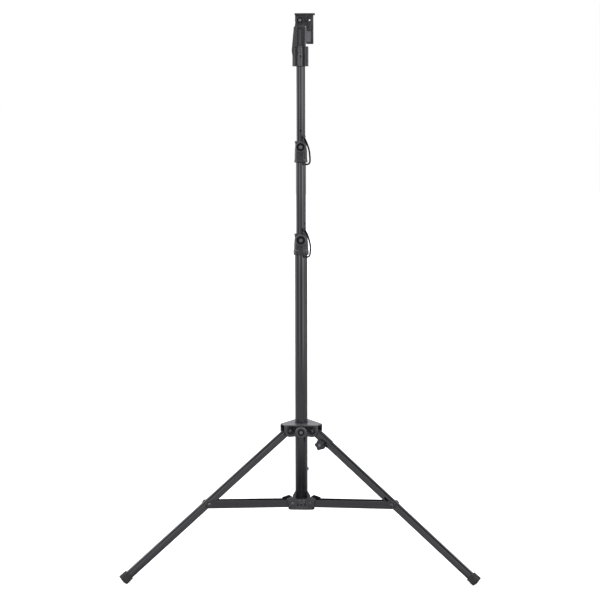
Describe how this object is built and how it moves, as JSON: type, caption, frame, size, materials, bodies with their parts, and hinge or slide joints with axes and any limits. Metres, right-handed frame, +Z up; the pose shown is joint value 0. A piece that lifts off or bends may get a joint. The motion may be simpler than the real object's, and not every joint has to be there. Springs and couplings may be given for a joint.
{
  "type": "light stand",
  "caption": "Telescopic light stand on folding legs with stays, with clamp collars, safety pins, a levelling leg and a tilting head with a flat top plate.",
  "frame": {"origin": "on the floor, under the middle of the stand's overall box", "axes": "+Z up along the column, +X towards the levelling leg's side (the right of the picture), +Y towards the rear leg, away from the camera"},
  "size_m": [1.3786, 1.1938, 2.162],
  "materials": {
    "base_tube": "gloss black anodised",
    "base_tube_plug": "matt black nylon",
    "crown_body": "satin black paint on a casting",
    "crown_knob": "satin black moulded plastic",
    "crown_liner": "matt black nylon",
    "crown_pad": "plain brass",
    "crown_pivot_bolt_left": "blackened steel",
    "crown_pivot_bolt_rear": "blackened steel",
    "crown_pivot_bolt_right": "blackened steel",
    "crown_top_plate": "satin dark grey paint",
    "foot_left": "matt black rubber",
    "foot_rear": "matt black rubber",
    "foot_right": "matt black rubber",
    "head_casting": "satin black paint on a casting",
    "head_clamp_screw": "blackened steel",
    "hub_fixing_screw": "blackened steel",
    "hub_pivot_bolt_left": "blackened steel",
    "hub_pivot_bolt_rear": "blackened steel",
    "hub_pivot_bolt_right": "blackened steel",
    "leg_left": "gloss black paint",
    "leg_rear": "gloss black paint",
    "leg_right": "gloss black paint",
    "leg_sleeve": "gloss black paint",
    "lower_collar": "satin black paint on a casting",
    "lower_collar_bush": "matt black nylon",
    "lower_collar_knob": "satin black moulded plastic",
    "lower_collar_pad": "plain brass",
    "lower_hub": "satin black paint on a casting",
    "lower_lanyard": "black braided cord",
    "lower_safety_pin": "blackened steel",
    "middle_tube": "gloss black anodised",
    "middle_tube_plug": "matt black nylon",
    "socket_screw": "blackened steel",
    "star_knob": "satin black moulded plastic",
    "stay_bolt_left": "blackened steel",
    "stay_bolt_rear": "blackened steel",
    "stay_bolt_right": "blackened steel",
    "stay_left_bar_a": "gloss black paint",
    "stay_left_bar_b": "gloss black paint",
    "stay_nut_left": "blackened steel",
    "stay_nut_rear": "blackened steel",
    "stay_nut_right": "blackened steel",
    "stay_rear_bar_a": "gloss black paint",
    "stay_rear_bar_b": "gloss black paint",
    "stay_right_bar_a": "gloss black paint",
    "stay_right_bar_b": "gloss black paint",
    "tilt_bracket": "satin black paint on a casting",
    "tilt_knob": "satin black moulded plastic",
    "tilt_nut": "blackened steel",
    "top_tube": "gloss black anodised",
    "top_tube_plug": "matt black nylon",
    "upper_collar": "satin black paint on a casting",
    "upper_collar_bush": "matt black nylon",
    "upper_collar_knob": "satin black moulded plastic",
    "upper_collar_pad": "plain brass",
    "upper_lanyard": "black braided cord",
    "upper_safety_pin": "blackened steel"
  },
  "bodies": {
    "column": {"base_tube": "base_tube", "base_tube_plug": "base_tube_plug", "lower_hub": "lower_hub", "hub_fixing_screw": "hub_fixing_screw", "hub_pivot_bolt_left": "hub_pivot_bolt_left", "hub_pivot_bolt_rear": "hub_pivot_bolt_rear", "hub_pivot_bolt_right": "hub_pivot_bolt_right", "lower_collar": "lower_collar", "lower_collar_bush": "lower_collar_bush", "lower_collar_pad": "lower_collar_pad", "lower_lanyard": "lower_lanyard"},
    "crown": {"crown_body": "crown_body", "crown_top_plate": "crown_top_plate", "crown_liner": "crown_liner", "crown_pad": "crown_pad", "crown_pivot_bolt_left": "crown_pivot_bolt_left", "crown_pivot_bolt_rear": "crown_pivot_bolt_rear", "crown_pivot_bolt_right": "crown_pivot_bolt_right"},
    "crown_clamp": {"crown_knob": "crown_knob"},
    "left_leg": {"leg_left": "leg_left", "foot_left": "foot_left"},
    "rear_leg": {"leg_rear": "leg_rear", "foot_rear": "foot_rear"},
    "right_sleeve": {"leg_sleeve": "leg_sleeve"},
    "right_leg": {"leg_right": "leg_right", "foot_right": "foot_right"},
    "levelling_clamp": {"star_knob": "star_knob"},
    "left_stay": {"stay_left_bar_a": "stay_left_bar_a", "stay_left_bar_b": "stay_left_bar_b", "stay_bolt_left": "stay_bolt_left", "stay_nut_left": "stay_nut_left"},
    "rear_stay": {"stay_rear_bar_a": "stay_rear_bar_a", "stay_rear_bar_b": "stay_rear_bar_b", "stay_bolt_rear": "stay_bolt_rear", "stay_nut_rear": "stay_nut_rear"},
    "right_stay": {"stay_right_bar_a": "stay_right_bar_a", "stay_right_bar_b": "stay_right_bar_b", "stay_bolt_right": "stay_bolt_right", "stay_nut_right": "stay_nut_right"},
    "middle_section": {"middle_tube": "middle_tube", "middle_tube_plug": "middle_tube_plug", "upper_collar": "upper_collar", "upper_collar_bush": "upper_collar_bush", "upper_collar_pad": "upper_collar_pad", "upper_lanyard": "upper_lanyard"},
    "top_section": {"top_tube": "top_tube", "top_tube_plug": "top_tube_plug", "head_casting": "head_casting", "head_clamp_screw": "head_clamp_screw", "tilt_nut": "tilt_nut"},
    "bracket": {"tilt_bracket": "tilt_bracket", "socket_screw": "socket_screw"},
    "lower_clamp": {"lower_collar_knob": "lower_collar_knob"},
    "upper_clamp": {"upper_collar_knob": "upper_collar_knob"},
    "tilt_clamp": {"tilt_knob": "tilt_knob"},
    "lower_pin": {"lower_safety_pin": "lower_safety_pin"},
    "upper_pin": {"upper_safety_pin": "upper_safety_pin"}
  },
  "joints": [
    {"name": "crown_slide", "type": "slide", "parent": "column", "child": "crown", "axis": [0, 0, 1], "range_m": [0, 0.512]},
    {"name": "crown_knob_turn", "type": "hinge", "parent": "crown", "child": "crown_clamp", "pos_m": [0, -0.18945, 0.522], "axis": [0, -1, 0], "continuous": true},
    {"name": "left_leg_swing", "type": "hinge", "parent": "crown", "child": "left_leg", "pos_m": [-0.05283, -0.21995, 0.522], "axis": [0.5, -0.866, 0], "range_deg": [0, 52.5]},
    {"name": "rear_leg_swing", "type": "hinge", "parent": "crown", "child": "rear_leg", "pos_m": [0, -0.12845, 0.522], "axis": [-1, 0, 0], "range_deg": [0, 52.5]},
    {"name": "right_leg_swing", "type": "hinge", "parent": "crown", "child": "right_sleeve", "pos_m": [0.05283, -0.21995, 0.522], "axis": [0.5, 0.866, 0], "range_deg": [0, 52.5]},
    {"name": "levelling_slide", "type": "slide", "parent": "right_sleeve", "child": "right_leg", "axis": [0.705, -0.4071, -0.5807], "range_m": [0, 0.04]},
    {"name": "star_knob_turn", "type": "hinge", "parent": "right_sleeve", "child": "levelling_clamp", "pos_m": [0.08749, -0.23996, 0.47134], "axis": [-0.5, -0.866, 0], "continuous": true},
    {"name": "left_stay_swing", "type": "hinge", "parent": "column", "child": "left_stay", "pos_m": [-0.04677, -0.21645, 0.227], "axis": [0.5, -0.866, 0], "range_deg": [-80.5, 0]},
    {"name": "rear_stay_swing", "type": "hinge", "parent": "column", "child": "rear_stay", "pos_m": [0, -0.13545, 0.227], "axis": [-1, 0, 0], "range_deg": [-80.5, 0]},
    {"name": "right_stay_swing", "type": "hinge", "parent": "column", "child": "right_stay", "pos_m": [0.04677, -0.21645, 0.227], "axis": [0.5, 0.866, 0], "range_deg": [-80.5, 0]},
    {"name": "middle_slide", "type": "slide", "parent": "column", "child": "middle_section", "axis": [0, 0, 1], "range_m": [-0.22, 0.43]},
    {"name": "top_slide", "type": "slide", "parent": "middle_section", "child": "top_section", "axis": [0, 0, 1], "range_m": [-0.25, 0.39]},
    {"name": "tilt", "type": "hinge", "parent": "top_section", "child": "bracket", "pos_m": [-0.0026, -0.18945, 2.134], "axis": [0, -1, 0], "range_deg": [0, 90]},
    {"name": "lower_knob_turn", "type": "hinge", "parent": "column", "child": "lower_clamp", "pos_m": [0, -0.18945, 1.2825], "axis": [0, -1, 0], "continuous": true},
    {"name": "upper_knob_turn", "type": "hinge", "parent": "middle_section", "child": "upper_clamp", "pos_m": [0, -0.18945, 1.6455], "axis": [0, -1, 0], "continuous": true},
    {"name": "tilt_knob_turn", "type": "hinge", "parent": "top_section", "child": "tilt_clamp", "pos_m": [-0.0026, -0.18945, 2.134], "axis": [0, -1, 0], "continuous": true},
    {"name": "lower_pin_pull", "type": "slide", "parent": "column", "child": "lower_pin", "axis": [0, 0, 1], "range_m": [0, 0.05]},
    {"name": "upper_pin_pull", "type": "slide", "parent": "middle_section", "child": "upper_pin", "axis": [0, 0, 1], "range_m": [0, 0.05]}
  ],
  "couplings": [
    {"joint": "left_leg_swing", "follows": "crown_slide", "rad_per_m": 1.7881},
    {"joint": "rear_leg_swing", "follows": "crown_slide", "rad_per_m": 1.7881},
    {"joint": "right_leg_swing", "follows": "crown_slide", "rad_per_m": 1.7881},
    {"joint": "left_stay_swing", "follows": "crown_slide", "rad_per_m": -2.7384},
    {"joint": "rear_stay_swing", "follows": "crown_slide", "rad_per_m": -2.7384},
    {"joint": "right_stay_swing", "follows": "crown_slide", "rad_per_m": -2.7384}
  ]
}
